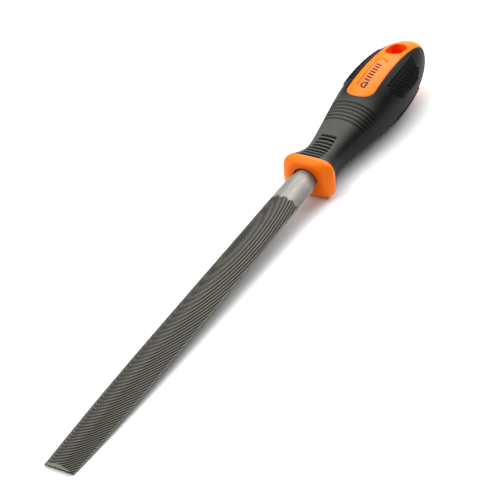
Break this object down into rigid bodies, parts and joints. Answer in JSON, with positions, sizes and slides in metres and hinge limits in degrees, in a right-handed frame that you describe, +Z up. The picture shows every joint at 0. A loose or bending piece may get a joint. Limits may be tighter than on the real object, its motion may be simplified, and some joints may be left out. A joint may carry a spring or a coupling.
{
  "type": "half-round file",
  "caption": "Half-round hand file for metal: toothed steel blade with a tang in an orange plastic handle core that has a hanging slot, under a soft black grip sleeve.",
  "frame": {"origin": "centre of the file's bounding box in plan, on the plane it rests on", "axes": "+X along the file from its tip to its handle, +Z up from the blade's flat side to its crown"},
  "size_m": [0.33, 0.0318, 0.0297],
  "materials": {
    "file_steel": "dark blasted steel with cut teeth, lighter at the bare neck and tip",
    "core_plastic": "glossy orange",
    "grip_rubber": "satin black soft grip with fine moulded texture"
  },
  "bodies": {
    "root": {"file_blade": "file_steel", "handle_core": "core_plastic", "grip_sleeve": "grip_rubber"}
  },
  "joints": []
}
